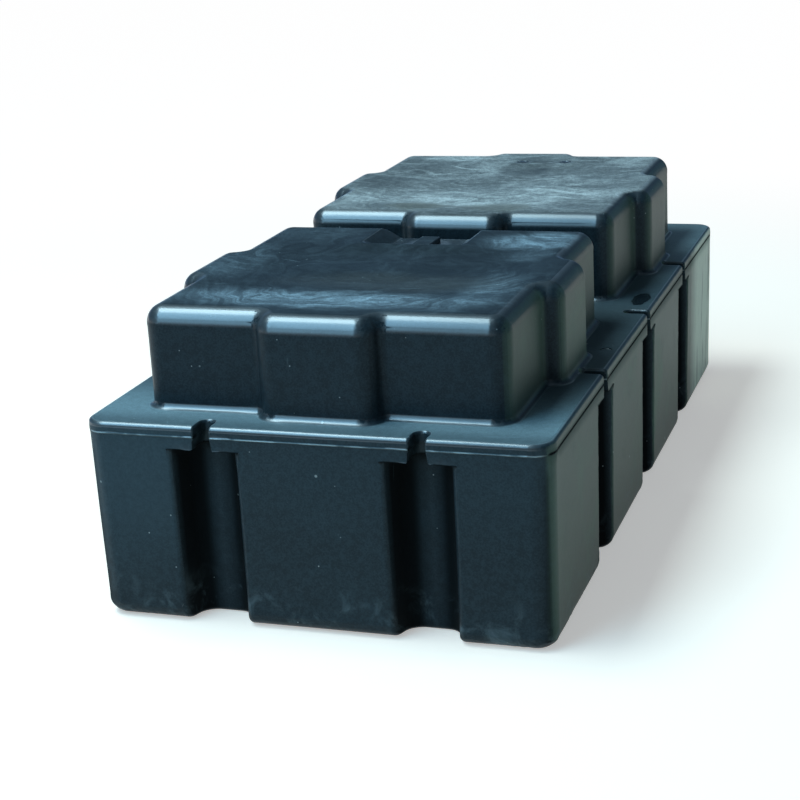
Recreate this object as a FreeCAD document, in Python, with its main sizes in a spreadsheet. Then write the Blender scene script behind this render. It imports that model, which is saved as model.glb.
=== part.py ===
import FreeCAD, Part
import math
import os

import Sketcher
from FreeCAD import Vector

# Foam filled dock float drum, nominal 24 x 48 x 16 inches, moulded in one hollow black shell.
# Frame: millimetres, +Z up, origin on the ground under the middle of the drum, length along Y.
# The drum has a ribbed base with vertical bolt grooves, a deck ledge with open bolt slots above
# the grooves, and two raised blocks with a channel for a cross joist between them. The front block
# has a dip in its rear edge with a tongue in it. Two small plugs close the filling holes.

# Driving sizes: name, value, what it is.
SIZES = [
    ("float_length", 1219.2, "over the end walls at the parting line"),
    ("float_width", 609.6, "over the side walls at the parting line"),
    ("parting_height", 254.0, "ground to the parting line of the mould"),
    ("wall_draft", 0.7, "slope of the base walls, degrees"),
    ("corner_radius", 30.0, "upright corners of the base"),
    ("bottom_radius", 22.0, "edge between the base walls and the bottom"),
    ("ledge_rise", 12.7, "parting line to the top of the ledge"),
    ("ledge_edge_radius", 8.0, "outer top edge of the ledge"),
    ("ledge_skirt", 18.4, "parting line down to the heads of the grooves"),
    ("groove_width", 88.0, "bolt groove at the face of the wall"),
    ("groove_floor_width", 58.0, "bolt groove at its back"),
    ("groove_depth", 45.0, "bolt groove, from the face of the wall"),
    ("groove_corner_radius", 22.0, "inside corners of a bolt groove"),
    ("groove_edge_radius", 8.0, "outside edges of a bolt groove"),
    ("end_groove_count", 2, "bolt grooves in each end wall"),
    ("end_groove_pitch", 279.4, "between the grooves of an end wall"),
    ("side_groove_count", 3, "bolt grooves in each side wall"),
    ("side_groove_pitch", 304.8, "between the grooves of a side wall"),
    ("slot_width", 18.6, "bolt slot through the ledge"),
    ("slot_flare", 13.0, "slope of the slot walls below the parting line, degrees"),
    ("end_slot_depth", 32.0, "bolt slot of an end wall, from the face"),
    ("side_slot_depth", 37.0, "bolt slot of a side wall, from the face"),
    ("slot_edge_radius", 4.0, "upper edges of a bolt slot"),
    ("block_height", 133.3, "ledge to the top of the raised blocks"),
    ("end_ledge", 63.5, "end wall to a block"),
    ("side_ledge", 65.0, "side wall to a block"),
    ("channel_width", 101.6, "joist channel between the blocks"),
    ("bulge_width", 142.0, "face of the bulge in the middle of a block wall"),
    ("bulge_depth", 25.4, "bulge, from the block wall"),
    ("bulge_run", 10.0, "sideways run of the sloping flank of a bulge"),
    ("block_corner_radius", 26.0, "outside upright corners of the blocks"),
    ("block_hollow_radius", 11.0, "inside upright corners of the blocks"),
    ("block_top_radius", 24.0, "top edge of the blocks"),
    ("block_foot_radius", 9.0, "between the block walls and the ledge"),
    ("dip_width", 152.4, "dip in the rear edge of the front block, at its rim"),
    ("dip_length", 116.0, "dip, forward from the rear wall of the block"),
    ("dip_depth", 18.0, "dip, below the top of the block"),
    ("dip_slope", 53.0, "walls of the dip, degrees from upright"),
    ("dip_corner_radius", 26.0, "corners of the dip"),
    ("dip_floor_radius", 10.0, "between the walls and the floor of the dip"),
    ("dip_rim_radius", 5.0, "rounding of the dip's rim"),
    ("tongue_width", 28.0, "tongue on the floor of the dip"),
    ("tongue_rise", 8.5, "tongue, above the floor of the dip"),
    ("tongue_setback", 24.0, "end of the tongue, forward from the rear wall"),
    ("tongue_edge_radius", 2.5, "upper edges of the tongue"),
    ("spot_diameter", 17.0, "round vent spot on the right ledge"),
    ("spot_depth", 1.5, "vent spot, below the ledge"),
    ("spot_inset", 22.0, "vent spot, in from the side wall"),
    ("spot_offset", 203.0, "vent spot, forward from the middle of the drum"),
    ("plug_pitch", 74.0, "between the two filling plugs"),
    ("plug_setback", 76.0, "plugs, forward from the rear wall of the rear block"),
    ("plug_offset", 36.0, "middle of the plug pair, right of the drum's middle"),
    ("plug_head_diameter", 20.0, "head of a filling plug"),
    ("plug_head_height", 2.6, "head of a filling plug"),
    ("plug_head_dome", 1.0, "rise of the plug head in its middle"),
    ("plug_stem_diameter", 12.7, "stem of a filling plug"),
    ("plug_stem_length", 11.0, "stem of a filling plug, below the head"),
    ("plug_rib_rise", 0.6, "retaining ribs, proud of the stem"),
    ("plug_rib_count", 3, "retaining ribs on the stem"),
    ("seat_depth", 3.2, "plug seat, below the top of the block"),
    ("plug_clearance", 0.2, "round the plug head and its ribs"),
    ("reach", 40.0, "cutting outlines, past the outside of the drum"),
]

TOUCH = 0.01         # heights closer than this are the same height


def fill_sheet(doc):
    """Puts the driving sizes in the sheet, one named cell each."""
    sheet = doc.addObject("Spreadsheet::Sheet", "Sizes")
    for row, (name, value, note) in enumerate(SIZES, start=1):
        sheet.set("A%d" % row, name)
        sheet.set("B%d" % row, str(value))
        sheet.set("C%d" % row, note)
        sheet.setAlias("B%d" % row, name)
    doc.recompute()
    return sheet


doc = FreeCAD.newDocument("DockFloatDrum")
sheet = fill_sheet(doc)


def size(name):
    """Value of a named cell."""
    return float(sheet.get(name))


def cell(formula):
    """A formula in which every size name is written as its cell of the sheet."""
    words = []
    for word in formula.split():
        words.append("Sizes." + word if word[0].isalpha() else word)
    return " ".join(words)


def worked_out(formula):
    """Value of the same formula."""
    return float(sheet.evalExpression(cell(formula)))


def plane(body, role):
    """Origin plane or axis of a body."""
    return [f for f in body.Origin.OriginFeatures if f.Role == role][0]


def outline_side(places, middles, i):
    """Side of an outline after corner i: straight, or an arc round a given middle."""
    start, end = places[i], places[(i + 1) % len(places)]
    if middles[i] is None:
        return Part.LineSegment(start, end)
    out, back = start - middles[i], end - middles[i]
    circle = Part.Circle(middles[i], Vector(0, 0, 1), out.Length)
    angle, last = math.atan2(out.y, out.x), math.atan2(back.y, back.x)
    if last < angle + math.radians(1):
        last += 2 * math.pi
    return Part.ArcOfCircle(circle, angle, last)


def sketch_of(body, name, outlines, height=None, role="XY_Plane"):
    """Sketch of closed outlines, counter-clockwise. Each corner is a pair of size formulas,
    or four where the side after it is an arc: the corner, then the middle of the arc."""
    sketch = body.newObject("Sketcher::SketchObject", name)
    sketch.AttachmentSupport = [(plane(body, role), "")]
    sketch.MapMode = "FlatFace"
    if height:
        sketch.setExpression("AttachmentOffset.Base.z", cell(height))

    def place(kind, side, point, formula):
        """Fixes one coordinate of a point by a formula."""
        rule = Sketcher.Constraint(kind, -1, 1, side, point, worked_out(formula))
        index = sketch.addConstraint(rule)
        sketch.setExpression("Constraints[%d]" % index, cell(formula))

    for corners in outlines:
        first = sketch.GeometryCount
        places = [Vector(worked_out(c[0]), worked_out(c[1]), 0) for c in corners]
        middles = [Vector(worked_out(c[2]), worked_out(c[3]), 0) if len(c) == 4 else None
                   for c in corners]
        count = len(places)
        for i in range(count):
            sketch.addGeometry(outline_side(places, middles, i), False)
        for i in range(count):
            following = first + (i + 1) % count
            sketch.addConstraint(Sketcher.Constraint("Coincident", first + i, 2, following, 1))
        for i, corner in enumerate(corners):
            place("DistanceX", first + i, 1, corner[0])
            place("DistanceY", first + i, 1, corner[1])
            if middles[i] and abs(middles[i].x - places[i].x) < TOUCH:
                place("DistanceX", first + i, 3, corner[2])
            elif middles[i]:
                place("DistanceY", first + i, 3, corner[3])
    return sketch


def grow(body, kind, name, sketch, length, reverse=False, taper=None):
    """Pad or Pocket of a sketch, with its length and slope bound to the sheet."""
    feature = body.newObject("PartDesign::" + kind, name)
    feature.Profile = sketch
    feature.setExpression("Length", cell(length))
    feature.Reversed = reverse
    if taper:
        feature.setExpression("TaperAngle", cell(taper))
    doc.recompute()
    return feature


def mirror(body, name, feature, role):
    """Repeats a feature on the other side of an origin plane."""
    copy = body.newObject("PartDesign::Mirrored", name)
    copy.Originals = [feature]
    copy.MirrorPlane = (plane(body, role), [""])
    body.Tip = copy
    doc.recompute()
    return copy


def round_edges(body, name, chosen, radius):
    """Fillet on the edges of the body so far for which chosen(edge) is true."""
    base = body.Tip
    names = ["Edge%d" % (i + 1) for i, edge in enumerate(base.Shape.Edges) if chosen(edge)]
    fillet = body.newObject("PartDesign::Fillet", name)
    fillet.Base = (base, names)
    fillet.setExpression("Radius", cell(radius))
    doc.recompute()
    return fillet


def at_height(edge, height):
    """True for an edge that lies level at a height."""
    box = edge.BoundBox
    return abs(box.ZMin - height) < TOUCH and abs(box.ZMax - height) < TOUCH


def upright(edge, low, high):
    """True for a straight edge that runs from one height to another."""
    box = edge.BoundBox
    spans = abs(box.ZMin - low) < TOUCH and abs(box.ZMax - high) < TOUCH
    return spans and edge.Curve.TypeId == "Part::GeomLine"


def groove_places(count, pitch):
    """Formulas of the middles of evenly spaced grooves."""
    steps = [i - (count - 1) / 2 for i in range(count)]
    return ["( %g * %s )" % (step, pitch) for step in steps]


def facing(face, place):
    """Outward direction of a face at a place on it."""
    u, v = face.Surface.parameter(place)
    return face.normalAt(u, v)


def sharp(shape, edge):
    """True where the two faces of an edge meet at an angle, not smoothly."""
    faces = shape.ancestorsOfType(edge, Part.Face)
    if len(faces) != 2:
        return False
    middle = edge.valueAt((edge.FirstParameter + edge.LastParameter) / 2)
    turn = facing(faces[0], middle).getAngle(facing(faces[1], middle))
    return turn > math.radians(5)


def rim(height):
    """Chooser of the sharp level edges at a height."""
    shape = shell.Tip.Shape
    return lambda edge: at_height(edge, height) and sharp(shape, edge)


# Main moulding: base, ledge and raised blocks in one shell
shell = doc.addObject("PartDesign::Body", "float_shell")
shell.Label = "float_shell"

HALF_X = "float_width / 2"
HALF_Y = "float_length / 2"
LEDGE = "parting_height + ledge_rise"
GROOVE_HEAD = "parting_height - ledge_skirt"
BLOCK = LEDGE + " + block_height"


def rectangle(left, right, front, rear):
    """Corners of an upright rectangle in plan."""
    return [(left, front), (right, front), (right, rear), (left, rear)]


# Base and ledge, one above and one below the parting line
hull = [rectangle("0 - " + HALF_X, HALF_X, "0 - " + HALF_Y, HALF_Y)]
plan = sketch_of(shell, "BaseOutline", hull, "parting_height")
grow(shell, "Pad", "Base", plan, "parting_height", reverse=True, taper="0 - wall_draft")
plan = sketch_of(shell, "LedgeOutline", hull, "parting_height")
grow(shell, "Pad", "Ledge", plan, "ledge_rise")


def corner_edge(edge):
    """True for the four upright corners, which the draft leans in below the parting line."""
    box = edge.BoundBox
    return box.ZLength > TOUCH and edge.Curve.TypeId == "Part::GeomLine"


round_edges(shell, "BaseCorners", corner_edge, "corner_radius")
round_edges(shell, "BottomEdge", rim(0.0), "bottom_radius")
round_edges(shell, "LedgeEdge", rim(worked_out(LEDGE)), "ledge_edge_radius")


def block_outline(front, rear, rear_bulge):
    """Plan of a raised block: a rectangle with a bulge in the middle of three or all four walls."""
    wall_x = "( float_width / 2 - side_ledge )"
    middle = "( %s + %s ) / 2" % (front, rear)
    face = "bulge_width / 2"
    root = "( bulge_width / 2 + bulge_run )"
    corners = [("0 - " + wall_x, front)]
    corners += [("0 - " + root, front), ("0 - " + face, front + " - bulge_depth")]
    corners += [(face, front + " - bulge_depth"), (root, front)]
    corners += [(wall_x, front)]
    corners += [(wall_x, middle + " - " + root), (wall_x + " + bulge_depth", middle + " - " + face)]
    corners += [(wall_x + " + bulge_depth", middle + " + " + face), (wall_x, middle + " + " + root)]
    corners += [(wall_x, rear)]
    if rear_bulge:
        corners += [(root, rear), (face, rear + " + bulge_depth")]
        corners += [("0 - " + face, rear + " + bulge_depth"), ("0 - " + root, rear)]
    corners += [("0 - " + wall_x, rear)]
    corners += [("0 - " + wall_x, middle + " + " + root)]
    corners += [("0 - " + wall_x + " - bulge_depth", middle + " + " + face)]
    corners += [("0 - " + wall_x + " - bulge_depth", middle + " - " + face)]
    corners += [("0 - " + wall_x, middle + " - " + root)]
    return corners


# Raised blocks, one each side of the joist channel
END_WALL = "( float_length / 2 - end_ledge )"
CHANNEL_WALL = "( channel_width / 2 )"
front_block = block_outline("( 0 - %s )" % END_WALL, "( 0 - %s )" % CHANNEL_WALL, False)
rear_block = block_outline(CHANNEL_WALL, END_WALL, True)
plan = sketch_of(shell, "BlockOutlines", [front_block, rear_block], LEDGE)
grow(shell, "Pad", "Blocks", plan, "block_height")


def outside_corner(shape, edge):
    """True for an edge where the moulding sticks out: one face falls away behind the other."""
    middle = edge.valueAt((edge.FirstParameter + edge.LastParameter) / 2)
    one, other = shape.ancestorsOfType(edge, Part.Face)
    return (one.CenterOfMass - middle).dot(facing(other, middle)) < 0


def block_upright(outside):
    """Chooser of the upright edges of the blocks, the outside or the inside ones."""
    shape = shell.Tip.Shape
    low, high = worked_out(LEDGE), worked_out(BLOCK)
    return lambda edge: (upright(edge, low, high) and sharp(shape, edge)
                         and outside_corner(shape, edge) == outside)


round_edges(shell, "BlockCorners", block_upright(True), "block_corner_radius")
round_edges(shell, "BlockHollows", block_upright(False), "block_hollow_radius")
round_edges(shell, "BlockFoot", rim(worked_out(LEDGE)), "block_foot_radius")
round_edges(shell, "BlockTop", rim(worked_out(BLOCK)), "block_top_radius")


# Bolt grooves up the walls of the base
def end_grooves():
    """Outlines of the grooves of the front end wall."""
    wall = "( 0 - %s )" % HALF_Y
    outlines = []
    for middle in groove_places(int(size("end_groove_count")), "end_groove_pitch"):
        mouth, floor = " groove_width / 2", " groove_floor_width / 2"
        outlines.append([
            (middle + " -" + mouth, wall + " - reach"), (middle + " +" + mouth, wall + " - reach"),
            (middle + " +" + mouth, wall), (middle + " +" + floor, wall + " + groove_depth"),
            (middle + " -" + floor, wall + " + groove_depth"), (middle + " -" + mouth, wall)])
    return outlines


def side_grooves():
    """Outlines of the grooves of the right side wall."""
    outlines = []
    for middle in groove_places(int(size("side_groove_count")), "side_groove_pitch"):
        mouth, floor = " groove_width / 2", " groove_floor_width / 2"
        outlines.append([
            (HALF_X + " + reach", middle + " -" + mouth), (HALF_X + " + reach", middle + " +" + mouth),
            (HALF_X, middle + " +" + mouth), (HALF_X + " - groove_depth", middle + " +" + floor),
            (HALF_X + " - groove_depth", middle + " -" + floor), (HALF_X, middle + " -" + mouth)])
    return outlines


plan = sketch_of(shell, "EndGrooveOutlines", end_grooves())
front_grooves = grow(shell, "Pocket", "EndGrooves", plan, GROOVE_HEAD, reverse=True)
mirror(shell, "RearEndGrooves", front_grooves, "XZ_Plane")
plan = sketch_of(shell, "SideGrooveOutlines", side_grooves())
right_grooves = grow(shell, "Pocket", "SideGrooves", plan, GROOVE_HEAD, reverse=True)
mirror(shell, "LeftSideGrooves", right_grooves, "YZ_Plane")


def groove_corner(edge):
    """True for the inside corners of a groove, which run from the ground to its head."""
    return upright(edge, 0.0, worked_out(GROOVE_HEAD))


def groove_mouth(edge):
    """True for the outside edges of a groove, which start above the rounded bottom edge."""
    box = edge.BoundBox
    low = 0.5 * size("bottom_radius")
    leans = low < box.ZMin < 2 * size("bottom_radius")
    return leans and abs(box.ZMax - worked_out(GROOVE_HEAD)) < TOUCH


round_edges(shell, "GrooveCorners", groove_corner, "groove_corner_radius")
round_edges(shell, "GrooveEdges", groove_mouth, "groove_edge_radius")


# Open bolt slots through the ledge, one above each groove
def slot_outline(middle, depth, width, along_x):
    """Plan of one slot with a round end, open at the right wall or at the front wall."""
    near, far = middle + " - %s / 2" % width, middle + " + %s / 2" % width
    if along_x:
        end = "( %s - %s + %s / 2 )" % (HALF_X, depth, width)
        return [(end, near), (HALF_X + " + reach", near), (HALF_X + " + reach", far),
                (end, far, end, middle)]
    wall = "( 0 - %s )" % HALF_Y
    end = "( %s + %s - %s / 2 )" % (wall, depth, width)
    return [(near, wall + " - reach"), (far, wall + " - reach"), (far, end, middle, end),
            (near, end)]


def slot_outlines(width):
    """Outlines of the slots of the front wall and of the right wall."""
    ends = groove_places(int(size("end_groove_count")), "end_groove_pitch")
    sides = groove_places(int(size("side_groove_count")), "side_groove_pitch")
    return ([slot_outline(middle, "end_slot_depth", width, False) for middle in ends],
            [slot_outline(middle, "side_slot_depth", width, True) for middle in sides])


ends, sides = slot_outlines("slot_width")
SLOT_TOP = LEDGE + " + block_foot_radius"
SLOT_CUT = "block_foot_radius + ledge_rise + ledge_skirt"
plan = sketch_of(shell, "EndSlotOutlines", ends, SLOT_TOP)
front_slots = grow(shell, "Pocket", "EndSlots", plan, SLOT_CUT)
mirror(shell, "RearEndSlots", front_slots, "XZ_Plane")
plan = sketch_of(shell, "SideSlotOutlines", sides, SLOT_TOP)
right_slots = grow(shell, "Pocket", "SideSlots", plan, SLOT_CUT)
mirror(shell, "LeftSideSlots", right_slots, "YZ_Plane")


def slot_rim():
    """Chooser of the sharp edges of the slots at the ledge, over its round outer edge and up the
    foot of a block where the end of a slot reaches it."""
    shape = shell.Tip.Shape
    low = worked_out(LEDGE + " - ledge_edge_radius") - TOUCH
    ledge = worked_out(LEDGE) - TOUCH
    high = worked_out(SLOT_TOP) + TOUCH

    def chosen(edge):
        """True for such an edge."""
        box = edge.BoundBox
        return box.ZMin > low and ledge < box.ZMax < high and sharp(shape, edge)

    return chosen


round_edges(shell, "SlotEdges", slot_rim(), "slot_edge_radius")

# Below the parting line the slots widen towards the grooves
plan = sketch_of(shell, "EndFlareOutlines", ends, "parting_height")
front_flares = grow(shell, "Pocket", "EndFlares", plan, "ledge_skirt", taper="slot_flare")
mirror(shell, "RearEndFlares", front_flares, "XZ_Plane")
plan = sketch_of(shell, "SideFlareOutlines", sides, "parting_height")
right_flares = grow(shell, "Pocket", "SideFlares", plan, "ledge_skirt", taper="slot_flare")
mirror(shell, "LeftSideFlares", right_flares, "YZ_Plane")


# Dip in the rear edge of the front block, open to the channel, with a tongue on its floor
DIP_FRONT = "( 0 - %s - dip_length )" % CHANNEL_WALL
DIP_FLOOR = BLOCK + " - dip_depth"
dip = [rectangle("0 - dip_width / 2", "dip_width / 2", DIP_FRONT,
                 "( 0 - %s + reach )" % CHANNEL_WALL)]
plan = sketch_of(shell, "DipOutline", dip, BLOCK)
grow(shell, "Pocket", "Dip", plan, "dip_depth", taper="0 - dip_slope")


def near_dip(low, high):
    """Chooser of the sharp edges round the dip that start no lower and end no higher."""
    shape = shell.Tip.Shape
    front = worked_out(DIP_FRONT) - TOUCH
    side = size("dip_width") / 2 + TOUCH

    def chosen(edge):
        """True for such an edge."""
        box = edge.BoundBox
        between = box.ZMin > low - TOUCH and box.ZMax < high + TOUCH
        beside = front < box.YMin and box.YMax < 0 and abs(edge.CenterOfMass.x) < side
        return between and beside and sharp(shape, edge)

    return chosen


def dip_corner():
    """Chooser of the two sloping inside corners of the dip."""
    near = near_dip(worked_out(DIP_FLOOR), worked_out(BLOCK))
    front = worked_out(DIP_FRONT) + TOUCH
    slope = size("dip_depth") / 2
    return lambda edge: near(edge) and edge.BoundBox.ZLength > slope and edge.BoundBox.YMin < front


def dip_floor_edge():
    """Chooser of the edges of the dip's floor, apart from the open one at the rear wall."""
    near = near_dip(worked_out(DIP_FLOOR), worked_out(DIP_FLOOR))
    rear = worked_out("0 - %s - block_top_radius / 2" % CHANNEL_WALL)
    return lambda edge: near(edge) and edge.BoundBox.YMin < rear


round_edges(shell, "DipCorners", dip_corner(), "dip_corner_radius")
round_edges(shell, "DipFloorEdges", dip_floor_edge(), "dip_floor_radius")
dip_rim = near_dip(worked_out(DIP_FLOOR), worked_out(BLOCK))
round_edges(shell, "DipRim", dip_rim, "dip_rim_radius")

tongue = [rectangle("0 - tongue_width / 2", "tongue_width / 2", DIP_FRONT,
                    "( 0 - %s - tongue_setback )" % CHANNEL_WALL)]
plan = sketch_of(shell, "TongueOutline", tongue, DIP_FLOOR)
grow(shell, "Pad", "Tongue", plan, "tongue_rise")
tongue_top = worked_out(DIP_FLOOR + " + tongue_rise")
tongue_rim = near_dip(tongue_top, tongue_top)
round_edges(shell, "TongueEdges", tongue_rim, "tongue_edge_radius")


def disc(across, x, y):
    """Outline of a circle, as two half circles."""
    half = " %s / 2" % across
    return [("( %s ) -" % x + half, y, x, y), ("( %s ) +" % x + half, y, x, y)]


# Vent spot in the right ledge, between two bolt slots
spot = [disc("spot_diameter", HALF_X + " - spot_inset", "0 - spot_offset")]
plan = sketch_of(shell, "VentSpotOutline", spot, LEDGE)
grow(shell, "Pocket", "VentSpot", plan, "spot_depth")

# Seats and holes of the two filling plugs, in the top of the rear block
PLUG_Y = "( float_length / 2 - end_ledge - plug_setback )"
PLUG_X = [("filling_plug_left", "( plug_offset - plug_pitch / 2 )"),
          ("filling_plug_right", "( plug_offset + plug_pitch / 2 )")]
SEAT_FLOOR = BLOCK + " - seat_depth"
SEAT_WIDTH = "( plug_head_diameter + 2 * plug_clearance )"
HOLE_WIDTH = "( plug_stem_diameter + 2 * plug_rib_rise + 2 * plug_clearance )"
plan = sketch_of(shell, "SeatOutlines", [disc(SEAT_WIDTH, x, PLUG_Y) for name, x in PLUG_X], BLOCK)
grow(shell, "Pocket", "PlugSeats", plan, "seat_depth")
plan = sketch_of(shell, "HoleOutlines", [disc(HOLE_WIDTH, x, PLUG_Y) for name, x in PLUG_X],
                 SEAT_FLOOR)
grow(shell, "Pocket", "PlugHoles", plan, "plug_stem_length + plug_clearance")


# Filling plugs: a domed head over a stem with retaining ribs
def plug_profile():
    """Half section of a plug, from the foot of its stem, with its ribs, to the domed head."""
    stem, rib = "plug_stem_diameter / 2", "plug_stem_diameter / 2 + plug_rib_rise"
    step = "plug_stem_length / ( 2 * plug_rib_count + 1 )"
    corners = [("0", "0 - plug_stem_length"), (stem, "0 - plug_stem_length")]
    for level in range(2 * int(size("plug_rib_count")) - 1, 0, -2):
        corners.append((stem, "0 - %g * %s" % (level + 1, step)))
        corners.append((rib, "0 - %g * %s" % (level, step)))
        corners.append((stem, "0 - %g * %s" % (level, step)))
    edge = "plug_head_diameter / 2"
    dome = "plug_head_diameter * plug_head_diameter / 8 / plug_head_dome + plug_head_dome / 2"
    top = "plug_head_height + plug_head_dome"
    corners += [(stem, "0"), (edge, "0"), (edge, "plug_head_height", "0", top + " - ( %s )" % dome)]
    corners += [("0", top)]
    return corners


def filling_plug(name, x):
    """One plug, placed in its seat."""
    body = doc.addObject("PartDesign::Body", name)
    body.Label = name
    profile = sketch_of(body, name + "_profile", [plug_profile()], role="XZ_Plane")
    turned = body.newObject("PartDesign::Revolution", name + "_turned")
    turned.Profile = profile
    turned.ReferenceAxis = (profile, ["V_Axis"])
    turned.Angle = 360
    body.setExpression("Placement.Base.x", cell(x))
    body.setExpression("Placement.Base.y", cell(PLUG_Y))
    body.setExpression("Placement.Base.z", cell(SEAT_FLOOR))
    doc.recompute()
    return body


plugs = [filling_plug(name, x) for name, x in PLUG_X]


# Checks and export
def check_document():
    """Stops with a list where a feature failed or a piece is not a sound solid."""
    faults = []
    for item in doc.Objects:
        if "Invalid" in item.State or "Error" in item.State:
            faults.append("%s: %s" % (item.Name, item.State))
    for body in [shell] + plugs:
        if body.Shape.isNull() or not body.Shape.isValid() or len(body.Shape.Solids) != 1:
            faults.append("%s: shape is not one sound solid" % body.Label)
    if faults:
        raise RuntimeError("; ".join(faults))


check_document()
os.makedirs("parts", exist_ok=True)
for body in [shell] + plugs:
    body.Shape.exportStep("parts/%s.step" % body.Label)
    box = body.Shape.BoundBox
    print("%s: %.1f x %.1f x %.1f mm, %.4f litres"
          % (body.Label, box.XLength, box.YLength, box.ZLength, body.Shape.Volume / 1e6))
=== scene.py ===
# %% [markdown]
# # Dock float drum
# A dock float is a hollow shell of black polyethylene, moulded in one piece in an oven and filled with
# foam. Its skin is a little wavy, satin where the mould was smooth, hazy on top where it weathers, and
# scuffed where it was dragged over concrete. This script dresses the packed model with that skin.
# Everything is in metres, in the frame of the packed model: X across, Y along, Z up from the ground.

# %% Load the packed model
import math

import bmesh
import bpy
import numpy as np
from mathutils import Matrix, Vector


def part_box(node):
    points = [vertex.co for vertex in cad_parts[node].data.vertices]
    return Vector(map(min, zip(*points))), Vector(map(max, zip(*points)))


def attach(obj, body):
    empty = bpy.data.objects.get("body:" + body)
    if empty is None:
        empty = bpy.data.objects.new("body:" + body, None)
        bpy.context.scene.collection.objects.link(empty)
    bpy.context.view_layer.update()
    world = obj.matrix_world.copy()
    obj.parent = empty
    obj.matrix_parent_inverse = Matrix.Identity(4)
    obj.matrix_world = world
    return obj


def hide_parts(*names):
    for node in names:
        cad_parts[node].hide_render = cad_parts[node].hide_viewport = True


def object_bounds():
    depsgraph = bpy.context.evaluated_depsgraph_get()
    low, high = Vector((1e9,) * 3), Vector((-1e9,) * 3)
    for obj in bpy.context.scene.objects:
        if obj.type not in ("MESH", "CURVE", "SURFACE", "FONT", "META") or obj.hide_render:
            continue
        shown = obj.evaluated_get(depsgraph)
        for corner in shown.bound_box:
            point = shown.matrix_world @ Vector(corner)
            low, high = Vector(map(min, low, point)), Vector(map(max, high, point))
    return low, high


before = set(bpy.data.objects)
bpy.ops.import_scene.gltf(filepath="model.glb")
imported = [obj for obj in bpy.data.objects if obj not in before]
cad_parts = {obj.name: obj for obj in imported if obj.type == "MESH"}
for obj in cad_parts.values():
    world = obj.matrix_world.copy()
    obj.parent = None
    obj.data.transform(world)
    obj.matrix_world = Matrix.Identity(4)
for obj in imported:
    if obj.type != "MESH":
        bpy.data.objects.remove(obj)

cad_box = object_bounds()
shell_low, shell_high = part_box("float_shell")
print("shell from", [round(v, 3) for v in shell_low], "to", [round(v, 3) for v in shell_high])

# %% [markdown]
# ## Levels of the moulding
# The looks follow the form: the flash line runs round the parting line of the mould, the haze lies on the
# tops, the scuffs sit near the ground. So the heights and widths that they need are named once, here.

# %% Named levels and widths
HALF_WIDTH = shell_high.x
HALF_LENGTH = shell_high.y
TOP = shell_high.z
PARTING = 0.2527
GROOVE_HEAD = 0.2356
GROOVE_DEPTH = 0.045
END_GROOVE_PITCH = 0.2794
SIDE_GROOVE_PITCH = 0.3048
LEDGE = 0.2667
BLOCK_HALF_WIDTH = 0.2398
BLOCK_FRONT = 0.5461
CHANNEL_HALF = 0.0508
BLOCK_MIDDLE = (BLOCK_FRONT + CHANNEL_HALF) / 2
TOP_EDGE_RADIUS = 0.024
print("blocks are centred", round(BLOCK_MIDDLE, 4), "m before and behind the middle")

# %% [markdown]
# ## An even skin
# The packed mesh has long thin triangles on its flat walls, which can't bend. A copy of it is merged, its
# flat faces are joined, and then it is cut by level and upright planes into an even grid. Cutting keeps
# every edge and fillet where it is, which a remesh would blur. A few closely spaced planes at the parting
# line give the flash line enough points to stand proud.

# %% Cut a copy of the shell into a grid
GRID = 0.015
FLASH_CUTS = (-0.0024, -0.0014, -0.0007, 0.0, 0.0007, 0.0014, 0.0024)
NO_LEVEL_CUT = 0.004
SAME_POINT = 2e-6
ON_PLANE = 1e-5
FLAT_ANGLE = math.radians(1.0)


def grid_steps(low, high):
    """Evenly spaced places between two ends, about one grid step apart."""
    count = int(round((high - low) / GRID))
    return np.linspace(low, high, count + 1)[1:-1]


def even_skin(node, name):
    """Copy of a packed node's mesh, merged, with its flat faces joined and then cut into a grid."""
    skin = bmesh.new()
    skin.from_mesh(node.data)
    bmesh.ops.remove_doubles(skin, verts=skin.verts, dist=SAME_POINT)
    bmesh.ops.dissolve_limit(skin, angle_limit=FLAT_ANGLE, verts=skin.verts, edges=skin.edges)
    low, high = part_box("float_shell")
    cuts = [((x, 0, 0), (1, 0, 0)) for x in grid_steps(low.x, high.x)]
    cuts += [((0, y, 0), (0, 1, 0)) for y in grid_steps(low.y, high.y)]
    levels = [z for z in grid_steps(low.z, high.z) if abs(z - PARTING) > NO_LEVEL_CUT]
    cuts += [((0, 0, z), (0, 0, 1)) for z in levels]
    cuts += [((0, 0, PARTING + step), (0, 0, 1)) for step in FLASH_CUTS]
    for place, direction in cuts:
        everything = skin.verts[:] + skin.edges[:] + skin.faces[:]
        bmesh.ops.bisect_plane(skin, geom=everything, dist=ON_PLANE, plane_co=place, plane_no=direction)
    bmesh.ops.triangulate(skin, faces=[f for f in skin.faces if len(f.verts) > 4])
    mesh = bpy.data.meshes.new(name)
    skin.to_mesh(mesh)
    skin.free()
    return mesh


shell_mesh = even_skin(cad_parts["float_shell"], "moulded_shell")
print("skin has", len(shell_mesh.vertices), "points and", len(shell_mesh.polygons), "faces")

# %% [markdown]
# ## Points as arrays
# Bending thousands of points one by one is slow and hard to read. Their places and normals are copied to
# numpy arrays instead, changed by whole-array formulas, and put back in one call.

# %% Read places and normals
def points_of(mesh):
    """Places of all points, one row each."""
    flat = np.empty(len(mesh.vertices) * 3, np.float32)
    mesh.vertices.foreach_get("co", flat)
    return flat.reshape(-1, 3).astype(float)


def normals_of(mesh):
    """Outward directions at all points, one row each."""
    flat = np.empty(len(mesh.vertices) * 3, np.float32)
    mesh.vertex_normals.foreach_get("vector", flat)
    return flat.reshape(-1, 3).astype(float)


place = points_of(shell_mesh)
normal = normals_of(shell_mesh)
x, y, z = place.T
print("places from", place.min(0).round(3), "to", place.max(0).round(3))

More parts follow.
